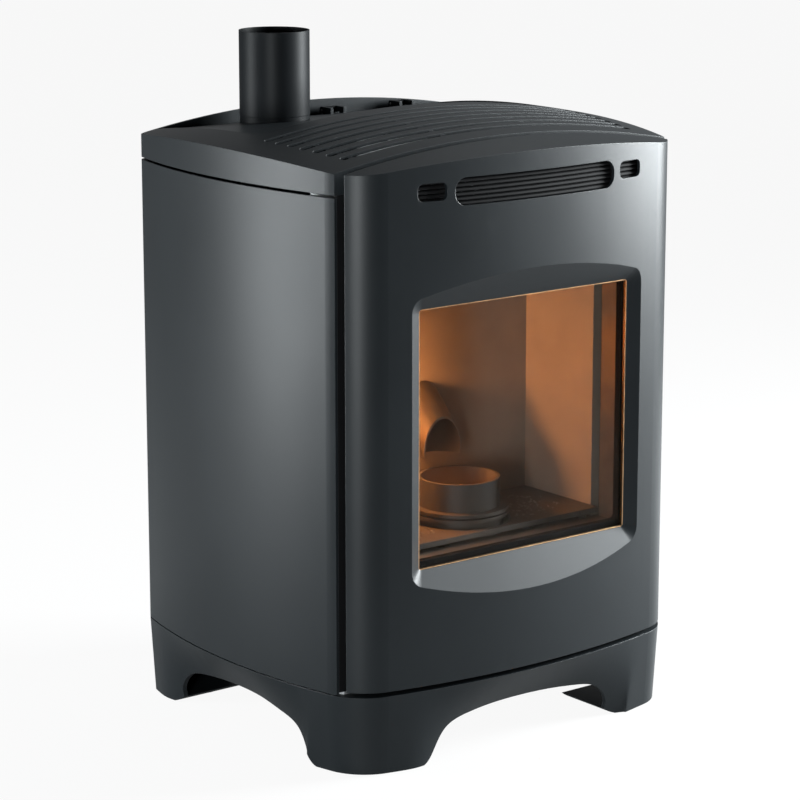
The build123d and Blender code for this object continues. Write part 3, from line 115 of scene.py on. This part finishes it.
class Finish:
    """A material, or another node tree, put together from named nodes."""

    def __init__(self, name, owner=None):
        self.owner = owner or bpy.data.materials.new(name)
        self.owner.use_nodes = True
        self.tree = self.owner.node_tree
        self.tree.nodes.clear()

    def node(self, kind, settings=None, values=None):
        made = self.tree.nodes.new(kind)
        for key, setting in (settings or {}).items():
            if key == "stops":
                self.set_stops(made.color_ramp, setting)
            else:
                setattr(made, key, setting)
        for key, value in (values or {}).items():
            if isinstance(value, Value):
                self.tree.links.new(value.socket, made.inputs[key])
            else:
                made.inputs[key].default_value = value
        return Node(self, made)

    def set_stops(self, ramp, stops):
        for index, (place, shade) in enumerate(stops):
            stop = ramp.elements[index] if index < 2 else ramp.elements.new(place)
            stop.position = place
            stop.color = (*shade, 1)

    def place(self):
        return self.node("ShaderNodeTexCoord")["Object"]

    def stretched(self, scale, turn=(0, 0, 0), shift=(0, 0, 0)):
        values = {"Vector": self.place(), "Scale": scale, "Rotation": turn, "Location": shift}
        return self.node("ShaderNodeMapping", {}, values)[0]

    def noise(self, scale, detail=3.0, rough=0.5, where=None):
        values = {"Vector": where or self.place(), "Scale": scale, "Detail": detail,
                  "Roughness": rough}
        return self.node("ShaderNodeTexNoise", {}, values)[0]

    def cells(self, scale, output="Distance"):
        values = {"Vector": self.place(), "Scale": scale}
        return self.node("ShaderNodeTexVoronoi", {"feature": "F1"}, values)[output]

    def mix(self, share, low, high):
        """Colour between two colours."""
        values = {0: share, 6: low, 7: high}
        return self.node("ShaderNodeMix", {"data_type": "RGBA"}, values)[2]

    def soft_edges(self, radius):
        """Normal that rounds the edges over a radius."""
        return self.node("ShaderNodeBevel", {"samples": 6}, {"Radius": radius})[0]

    def edge_share(self, radius):
        """1 on edges and 0 on flats."""
        true = self.node("ShaderNodeNewGeometry")["Normal"]
        values = {0: self.soft_edges(radius), 1: true}
        flat = self.node("ShaderNodeVectorMath", {"operation": "DOT_PRODUCT"}, values)["Value"]
        return (1 - flat).span(0.005, 0.16)

    def bump(self, height, distance, strength=1.0, normal=None):
        values = {"Height": height, "Distance": distance, "Strength": strength}
        if normal is not None:
            values["Normal"] = normal
        return self.node("ShaderNodeBump", {}, values)[0]

    def surface(self, **values):
        names = {key.replace("_", " ").title().replace("Ior", "IOR"): value
                 for key, value in values.items()}
        shader = self.node("ShaderNodeBsdfPrincipled", {}, names)
        self.node("ShaderNodeOutputMaterial", {}, {"Surface": shader[0]})
        return self.owner


def shade(color):
    return (*color, 1.0)


# Finishes of the stove

EDGE = 0.0009


def painted(name, color, rough, peel, level):
    """Sprayed and baked paint: fine orange peel, slow gloss drift, thin edges."""
    f = Finish(name)
    drift = f.noise(5.0, 4.0, 0.55)
    speck = f.noise(1400.0, 2.0, 0.6)
    scuff = f.noise(38.0, 6.0, 0.7, f.stretched((1, 1, 0.35))).span(0.62, 0.8)
    edges = f.edge_share(EDGE)
    light = tuple(min(1.0, c * 1.9 + 0.01) for c in color)
    dark = tuple(c * 0.82 for c in color)
    body = f.mix(drift.span(0.3, 0.7), shade(dark), shade(color))
    worn = f.mix((edges * 0.5 + scuff * 0.06).clamp(), body, shade(light))
    gloss = rough + (drift - 0.5) * 0.12 + (speck - 0.5) * 0.08 + scuff * 0.05
    height = speck * 0.6 + f.noise(420.0, 2.0, 0.5) * 0.4
    return f.surface(base_color=worn, roughness=gloss, specular_ior_level=level,
                     normal=f.bump(height, peel, 0.5, f.soft_edges(EDGE)))


def sheet_steel(name, color, rough, spangle):
    """Galvanised or plain sheet with faint crystal patches and drawn lines."""
    f = Finish(name)
    patch = f.cells(spangle, output="Color")
    grey = f.node("ShaderNodeRGBToBW", {}, {0: patch})[0]
    lines = f.noise(60.0, 4.0, 0.6, f.stretched((1, 1, 12)))
    grime = f.noise(14.0, 5.0, 0.6).span(0.5, 0.75)
    dark = tuple(c * 0.6 for c in color)
    body = f.mix((grey * 0.5 + lines * 0.4).clamp(), shade(dark), shade(color))
    dirty = f.mix(grime * 0.35, body, shade((0.09, 0.075, 0.06)))
    gloss = rough + (grey - 0.5) * 0.2 + grime * 0.2
    return f.surface(base_color=dirty, metallic=0.92, roughness=gloss,
                     normal=f.bump(lines, 0.00006, 0.4, f.soft_edges(0.0006)))


def turned_steel(name, color, rough):
    """Machined steel with fine tool marks."""
    f = Finish(name)
    lines = f.noise(900.0, 2.0, 0.5)
    stain = f.noise(60.0, 4.0, 0.6)
    dark = tuple(c * 0.55 for c in color)
    body = f.mix(stain.span(0.35, 0.7), shade(dark), shade(color))
    return f.surface(base_color=body, metallic=1.0, roughness=rough + (lines - 0.5) * 0.15,
                     normal=f.bump(lines, 0.00004, 0.5, f.soft_edges(0.0005)))


def cast(name, cool, hot, rough, relief, soot_share):
    """Sand-cast iron, browned by heat, sooty in patches and dusted with ash."""
    f = Finish(name)
    sand = f.noise(520.0, 4.0, 0.65)
    patch = f.noise(9.0, 5.0, 0.6)
    soot = f.noise(26.0, 5.0, 0.65).span(0.45, 0.72)
    body = f.mix(patch.span(0.3, 0.7), shade(cool), shade(hot))
    sooty = f.mix(soot * soot_share, body, shade(tuple(c * 0.35 for c in cool)))
    edges = f.edge_share(0.0008)
    worn = f.mix(edges * 0.35, sooty, shade(tuple(min(1.0, c * 1.6) for c in hot)))
    return f.surface(base_color=worn, roughness=rough + (sand - 0.5) * 0.2, specular_ior_level=0.4,
                     normal=f.bump(sand, relief, 0.5, f.soft_edges(0.0008)))


def clear_pane():
    """Dark glass ceramic with a film of haze."""
    f = Finish("glass_ceramic")
    haze = f.noise(8.0, 4.0, 0.6).span(0.4, 0.9)
    return f.surface(base_color=shade((0.004, 0.003, 0.002)), roughness=haze * 0.06 + 0.02,
                     alpha=haze * 0.04 + 0.34, specular_ior_level=0.06)


def moulded(name, color, rough, grain):
    """Moulded plastic or rubber with a fine leather-like grain."""
    f = Finish(name)
    pores = f.cells(grain)
    drift = f.noise(30.0, 3.0, 0.5)
    body = f.mix(drift, shade(tuple(c * 0.75 for c in color)), shade(color))
    return f.surface(base_color=body, roughness=rough + (drift - 0.5) * 0.1,
                     normal=f.bump(pores, 0.00005, 0.5, f.soft_edges(0.0005)))


def braided(name, color):
    """Braided glass-fibre rope or tape: crossing strands and stray hairs."""
    f = Finish(name)
    waves = []
    for turn in (0.8, -0.8):
        where = f.stretched((1, 1, 1), (turn, turn, turn))
        values = {"Vector": where, "Scale": 160.0, "Distortion": 1.5}
        waves.append(f.node("ShaderNodeTexWave", {"bands_direction": "DIAGONAL"}, values)[1])
    strands = waves[0].math("MAXIMUM", waves[1])
    hairs = f.noise(1500.0, 3.0, 0.7)
    dark = tuple(c * 0.35 for c in color)
    body = f.mix((strands * 0.7 + hairs * 0.3).clamp(), shade(dark), shade(color))
    return f.surface(base_color=body, roughness=0.92, specular_ior_level=0.15,
                     normal=f.bump(strands + hairs * 0.3, 0.0006, 0.7))


def bronze():
    """Sintered bronze bush, oily and pitted."""
    f = Finish("sintered_bronze")
    pits = f.cells(1200.0)
    oil = f.noise(90.0, 4.0, 0.6)
    body = f.mix(oil, shade((0.32, 0.19, 0.07)), shade((0.52, 0.36, 0.15)))
    return f.surface(base_color=body, metallic=1.0, roughness=0.38 + oil * 0.12,
                     normal=f.bump(pits, 0.00005, 0.5, f.soft_edges(0.0005)))


def wood_pellets():
    """Pressed sawdust pellets: pale and dark pellets with cracks and fibres."""
    f = Finish("pressed_wood")
    tone = f.noise(55.0, 2.0, 0.5)
    fibre = f.noise(900.0, 4.0, 0.7)
    body = f.mix(tone.span(0.3, 0.7), shade((0.30, 0.17, 0.08)), shade((0.58, 0.40, 0.22)))
    flecked = f.mix(fibre.span(0.55, 0.75), body, shade((0.18, 0.10, 0.05)))
    return f.surface(base_color=flecked, roughness=0.62 + fibre * 0.2,
                     normal=f.bump(fibre, 0.0003, 0.6))


def embers():
    """Charred pellets that glow in the cracks."""
    f = Finish("glowing_embers")
    heat = f.noise(120.0, 5.0, 0.7).span(0.42, 0.66)
    ash = f.noise(340.0, 3.0, 0.6)
    body = f.mix(ash, shade((0.02, 0.017, 0.015)), shade((0.16, 0.14, 0.13)))
    glow = f.node("ShaderNodeValToRGB", {"stops": [
        (0.0, (0.0, 0.0, 0.0)), (0.45, (0.5, 0.04, 0.0)),
        (0.8, (1.0, 0.3, 0.03)), (1.0, (1.0, 0.62, 0.2))]},
        {0: heat})[0]
    return f.surface(base_color=body, roughness=0.9, emission_color=glow, emission_strength=4.0,
                     normal=f.bump(ash, 0.0005, 0.8))


def fly_ash():
    """Pale grey ash with dark crumbs."""
    f = Finish("fly_ash")
    crumbs = f.noise(700.0, 4.0, 0.7)
    body = f.mix(crumbs, shade((0.08, 0.07, 0.065)), shade((0.36, 0.33, 0.30)))
    return f.surface(base_color=body, roughness=0.95, normal=f.bump(crumbs, 0.0006, 0.8))


ANTHRACITE = (0.0060, 0.0074, 0.0084)
COAT = painted("anthracite_coat", ANTHRACITE, 0.38, 0.00010, 0.10)
CAST_COAT = painted("anthracite_casting", ANTHRACITE, 0.38, 0.00012, 0.10)
BLACK = painted("heat_paint", (0.003, 0.0036, 0.0042), 0.45, 0.00015, 0.04)
INNER_BLACK = painted("inner_heat_paint", (0.003, 0.003, 0.0033), 0.7, 0.00015, 0.05)
ZINC = sheet_steel("zinc_sheet", (0.46, 0.47, 0.48), 0.42, 160.0)
STAINLESS = turned_steel("turned_steel", (0.52, 0.51, 0.50), 0.32)
# Copper tint of the window strips: a painted gold reflection of the firelight.
GOLD_REFLECTION_STRIP = turned_steel("strip_with_painted_gold_reflection", (0.42, 0.25, 0.13), 0.3)
BROWNED = sheet_steel("heated_sheet", (0.34, 0.29, 0.24), 0.5, 60.0)
IRON = cast("cast_iron", (0.055, 0.05, 0.047), (0.085, 0.066, 0.05), 0.55, 0.00018, 0.5)
LINER = cast("liner_plate", (0.20, 0.165, 0.135), (0.26, 0.205, 0.155), 0.52, 0.00006, 0.16)
RUBBER = moulded("black_rubber", (0.022, 0.022, 0.022), 0.75, 900.0)
PLASTIC = moulded("black_plastic", (0.025, 0.025, 0.027), 0.45, 1600.0)
ROPE = braided("glass_rope", (0.09, 0.088, 0.085))
BRONZE = bronze()
PANE = clear_pane()
PELLET = wood_pellets()
EMBER = embers()
ASH = fly_ash()

FINISHES = {
    "base_skirt": CAST_COAT, "left_side_panel": COAT, "right_side_panel": COAT,
    "top_cap": CAST_COAT, "rear_deck": COAT, "hopper_lid": COAT, "door_shell": CAST_COAT,
    "flue_pipe": BLACK,
    "back_panel": BLACK, "front_frame": INNER_BLACK, "floor_plate": ZINC, "chassis_sides": ZINC,
    "lid_hinge_posts": BLACK, "body_hinge_leaves": BLACK, "door_hinge_leaves": BLACK,
    "door_inner_frame": INNER_BLACK, "air_intake_pipe": BLACK, "firebox_shell": BROWNED,
    "firebox_mouth": BROWNED, "heat_exchanger_tubes": BROWNED, "pellet_chute": BROWNED,
    "auger_tube": ZINC, "auger_screw": STAINLESS, "hopper": ZINC, "combustion_air_box": ZINC,
    "smoke_collector": ZINC, "exhaust_blower_housing": ZINC, "exhaust_impeller": STAINLESS,
    "exhaust_motor": STAINLESS, "room_fan_case": ZINC, "room_fan_drum": ZINC,
    "room_fan_motor": STAINLESS, "air_riser": ZINC, "ash_drawer": ZINC, "drawer_runners": ZINC,
    "auger_gearmotor": STAINLESS, "hinge_pins": STAINLESS, "lid_hinge_pins": STAINLESS,
    "latch_hook": STAINLESS, "latch_pin": STAINLESS, "latch_keeper": STAINLESS,
    "inner_frame_screws": STAINLESS, "igniter": STAINLESS, "left_liner": LINER,
    "right_liner": LINER, "back_liner": LINER, "firebox_shelf": IRON, "baffle": LINER,
    "burn_pot": IRON, "burn_pot_stand": IRON, "door_glass": PANE, "foot_pads": RUBBER,
    "lid_gasket": RUBBER, "glass_gasket": ROPE, "door_rope_seal": ROPE, "auger_bush": BRONZE,
    "power_inlet": PLASTIC, "rocker_switch_frame": PLASTIC, "rocker_switch": PLASTIC,
    "reset_button": PLASTIC,
}


def finish_cad_nodes():
    """Give every carried-over node its finish."""
    for node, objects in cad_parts.items():
        for thing in objects if isinstance(objects, (list, tuple)) else [objects]:
            thing.data.materials.clear()
            thing.data.materials.append(FINISHES[node])


# Pieces made here

POT_Y = -0.09
PELLET_RADIUS = 0.003
SHELF_TOP = 0.232


def add_piece(name, mesh, finish, body, smooth=True):
    """Turn a bmesh into a piece that rides on a body."""
    data = bpy.data.meshes.new(name)
    mesh.to_mesh(data)
    mesh.free()
    data.materials.append(finish)
    if smooth:
        data.shade_smooth()
    thing = bpy.data.objects.new(name, data)
    bpy.context.scene.collection.objects.link(thing)
    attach(thing, body)
    return thing


def add_pellet(mesh, centre, axis, radius, length):
    """One short pellet with broken-looking ends."""
    turn = axis.to_track_quat("Z", "Y").to_matrix().to_4x4()
    made = bmesh.ops.create_cone(mesh, cap_ends=True, segments=7, radius1=radius,
                                 radius2=radius * random.uniform(0.93, 1.0), depth=length,
                                 matrix=Matrix.Translation(centre) @ turn)
    for vert in made["verts"]:
        vert.co += Vector(random.uniform(-1, 1) for _ in range(3)) * radius * 0.08


def pot_embers():
    """Glowing bed in the burn pot."""
    pellets, bed_radius, bed_low, heap, heap_radius = 170, 0.036, 0.249, 0.016, 0.045
    mesh = bmesh.new()
    for _ in range(pellets):
        angle = random.uniform(0, 2 * math.pi)
        reach = bed_radius * math.sqrt(random.random())
        height = bed_low + random.uniform(0, heap) * (1 - (reach / heap_radius) ** 2)
        centre = Vector((reach * math.cos(angle), POT_Y + reach * math.sin(angle), height))
        axis = Vector((random.uniform(-1, 1), random.uniform(-1, 1), random.uniform(-0.35, 0.35)))
        add_pellet(mesh, centre, axis, PELLET_RADIUS, random.uniform(0.006, 0.011))
    add_piece("ember_bed", mesh, EMBER, "pot", smooth=False)


def hopper_fill():
    """Wood pellets lying in the hopper, under the lid."""
    pellets, level, mound, ripple = 1500, 0.598, 0.012, 18
    left, right, front, back = -0.011, 0.157, 0.079, 0.163
    mesh = bmesh.new()
    for _ in range(pellets):
        x = random.uniform(left, right)
        y = random.uniform(front, back)
        lift = mound * noise.noise(Vector((x * ripple, y * ripple, 3.0)))
        centre = Vector((x, y, level + lift + random.uniform(-0.006, 0.004)))
        axis = Vector((random.uniform(-1, 1), random.uniform(-1, 1), random.uniform(-0.5, 0.5)))
        add_pellet(mesh, centre, axis, PELLET_RADIUS, random.uniform(0.008, 0.016))
    add_piece("hopper_pellets", mesh, PELLET, "casing", smooth=False)


def window_strips():
    """Copper-tinted strips that line the window's lip in front of the glass; the copper tint is a
    painted gold reflection of the firelight, and the flame lamp lights them as well.
    """
    mesh = bmesh.new()
    half, low, high, wall = 0.1469, 0.2201, 0.5029, 0.0011
    front, back = -0.2018, -0.1978
    bars = ((-half, half, low, low + wall), (-half, half, high - wall, high),
            (-half, -half + wall, low + wall, high - wall),
            (half - wall, half, low + wall, high - wall))
    for x0, x1, z0, z1 in bars:
        made = bmesh.ops.create_cube(mesh, size=1.0)
        bmesh.ops.scale(mesh, vec=(x1 - x0, back - front, z1 - z0), verts=made["verts"])
        bmesh.ops.translate(mesh, vec=((x0 + x1) / 2, (front + back) / 2, (z0 + z1) / 2),
                            verts=made["verts"])
    bmesh.ops.bevel(mesh, geom=mesh.edges[:], offset=0.0003, segments=2, affect="EDGES",
                    profile=0.5, material=-1)
    add_piece("window_strips", mesh, GOLD_REFLECTION_STRIP, "door", smooth=False)


def slot_shade_slats():
    """Dark slats behind the air slots, bent like the inside of the door: painted shade that keeps
    the slots black.
    """
    mesh = bmesh.new()
    slats, pitch, lowest = 9, 0.0048, 0.6085
    bow, door_inside = 0.839, -0.2188
    half_length, half_depth = 0.1585, 0.0019
    for row in range(slats):
        made = bmesh.ops.create_grid(mesh, x_segments=36, y_segments=1, size=1.0)
        bmesh.ops.scale(mesh, vec=(half_length, half_depth, 1.0), verts=made["verts"])
        for vert in made["verts"]:
            lean = vert.co.y * 0.8
            height = lowest + row * pitch
            drop = bow - math.sqrt(bow * bow - vert.co.x ** 2)
            vert.co = Vector((vert.co.x, door_inside + drop + lean, height + vert.co.y))
    bmesh.ops.recalc_face_normals(mesh, faces=mesh.faces[:])
    bmesh.ops.solidify(mesh, geom=mesh.faces[:], thickness=0.0006)
    add_piece("slot_shade_slats", mesh, INNER_BLACK, "door")


def scattered_ash():
    """Ash crumbs on the shelf round the pot."""
    crumbs, spread, flatten = 420, 0.135, 0.55
    shelf_front, shelf_back, pot_clearance = -0.138, -0.032, 0.0605
    mesh = bmesh.new()
    for _ in range(crumbs):
        angle = random.uniform(0, 2 * math.pi)
        reach = random.uniform(0.060, spread)
        x = reach * math.cos(angle)
        y = POT_Y + reach * math.sin(angle) * flatten
        from_pot = math.hypot(x, y - POT_Y)
        if y < shelf_front or y > shelf_back or from_pot < pot_clearance:
            continue
        size = random.uniform(0.0005, 0.0017)
        made = bmesh.ops.create_icosphere(mesh, subdivisions=1, radius=size,
                                          matrix=Matrix.Translation(
                                              (x, y, SHELF_TOP + size * 0.4)))
        bmesh.ops.scale(mesh, vec=(1, 1, 0.6), verts=made["verts"],
                        space=Matrix.Translation((-x, -y, -SHELF_TOP)))
    add_piece("shelf_ash", mesh, ASH, "casing", smooth=False)


# Light and floor

REFLECTED_SHARE = 0.2    # how bright the white surroundings are in reflections
FLOOR_WHITE = 0.93       # the rest of the floor takes the shadow
SOFT_LIGHT = 0.13


def floor_and_backdrop():
    """Plain pale floor that stays white to the camera and keeps the shadow."""
    mesh = bmesh.new()
    bmesh.ops.create_circle(mesh, cap_ends=True, segments=64, radius=60)
    data = bpy.data.meshes.new("studio_floor")
    mesh.to_mesh(data)
    mesh.free()
    floor = bpy.data.objects.new("studio_floor", data)
    floor.location.z = -0.0002
    bpy.context.scene.collection.objects.link(floor)
    f = Finish("pale_floor")
    path = f.node("ShaderNodeLightPath")
    clear = path["Is Camera Ray"] + path["Is Transmission Ray"]
    seen = (clear + path["Is Glossy Ray"] * REFLECTED_SHARE).clamp()
    matt = f.node("ShaderNodeBsdfDiffuse", {}, {"Color": shade((0.34, 0.34, 0.34))})[0]
    glow = f.node("ShaderNodeEmission", {}, {"Color": shade((1, 1, 1)), "Strength": 1.0})[0]
    mixed = f.node("ShaderNodeMixShader", {}, {0: seen * FLOOR_WHITE, 1: matt, 2: glow})[0]
    f.node("ShaderNodeOutputMaterial", {}, {"Surface": mixed})
    data.materials.append(f.owner)


def surroundings():
    """White to the camera, dimmer in reflections, and a soft light on the stove."""
    world = bpy.data.worlds.new("studio")
    bpy.context.scene.world = world
    f = Finish("studio", world)
    path = f.node("ShaderNodeLightPath")
    clear = path["Is Camera Ray"] + path["Is Transmission Ray"]
    seen = (clear + path["Is Glossy Ray"] * REFLECTED_SHARE).clamp()
    soft = f.node("ShaderNodeBackground", {}, {"Color": shade((0.9, 0.95, 1.0)),
                                               "Strength": SOFT_LIGHT})[0]
    white = f.node("ShaderNodeBackground", {}, {"Color": shade((1, 1, 1)), "Strength": 1.0})[0]
    mixed = f.node("ShaderNodeMixShader", {}, {0: seen, 1: soft, 2: white})[0]
    f.node("ShaderNodeOutputWorld", {}, {"Surface": mixed})


COOL = (0.93, 0.98, 1.0)


def softbox(name, azimuth, distance, height, width, tall, watts):
    """Large rectangular lamp that faces the stove."""
    data = bpy.data.lights.new(name, "AREA")
    data.shape = "RECTANGLE"
    data.size = width
    data.size_y = tall
    data.energy = watts
    data.color = COOL
    lamp = bpy.data.objects.new(name, data)
    angle = math.radians(azimuth)
    spot = Vector((math.sin(angle) * distance, -math.cos(angle) * distance, height))
    lamp.location = spot
    lamp.rotation_mode = "QUATERNION"
    lamp.rotation_quaternion = (Vector((0, 0, 0.4)) - spot).to_track_quat("-Z", "Y")
    lamp.visible_camera = False
    lamp.visible_transmission = False
    bpy.context.scene.collection.objects.link(lamp)


def fire_glow(name, spot, radius, watts, color):
    """Warm lamp where the fire burns."""
    data = bpy.data.lights.new(name, "POINT")
    data.shadow_soft_size = radius
    data.energy = watts
    data.color = color
    lamp = bpy.data.objects.new(name, data)
    lamp.location = spot
    lamp.visible_camera = False
    lamp.visible_glossy = False
    lamp.visible_transmission = False
    bpy.context.scene.collection.objects.link(lamp)


def light_the_stove():
    """Four softboxes outside and two warm lamps in the firebox."""
    softbox("right_softbox", azimuth=67, distance=1.9, height=0.95, width=0.7, tall=1.2, watts=320)
    softbox("left_softbox", azimuth=-120, distance=2.1, height=0.45, width=0.6, tall=1.1, watts=105)
    softbox("corner_softbox", azimuth=-50, distance=3.8, height=0.5, width=0.4, tall=1.0, watts=190)
    softbox("top_softbox", azimuth=110, distance=1.3, height=2.4, width=1.3, tall=1.3, watts=12)
    fire_glow("flame_light", spot=(-0.085, -0.040, 0.385), radius=0.010, watts=6.2,
              color=(1.0, 0.40, 0.11))
    fire_glow("flame_fill", spot=(-0.03, -0.10, 0.30), radius=0.02, watts=0.25,
              color=(1.0, 0.38, 0.10))


def build_scene():
    place_camera()
    finish_cad_nodes()
    pot_embers()
    hopper_fill()
    scattered_ash()
    slot_shade_slats()
    window_strips()
    floor_and_backdrop()
    surroundings()
    light_the_stove()
    bpy.context.scene.view_settings.view_transform = "Standard"


build_scene()
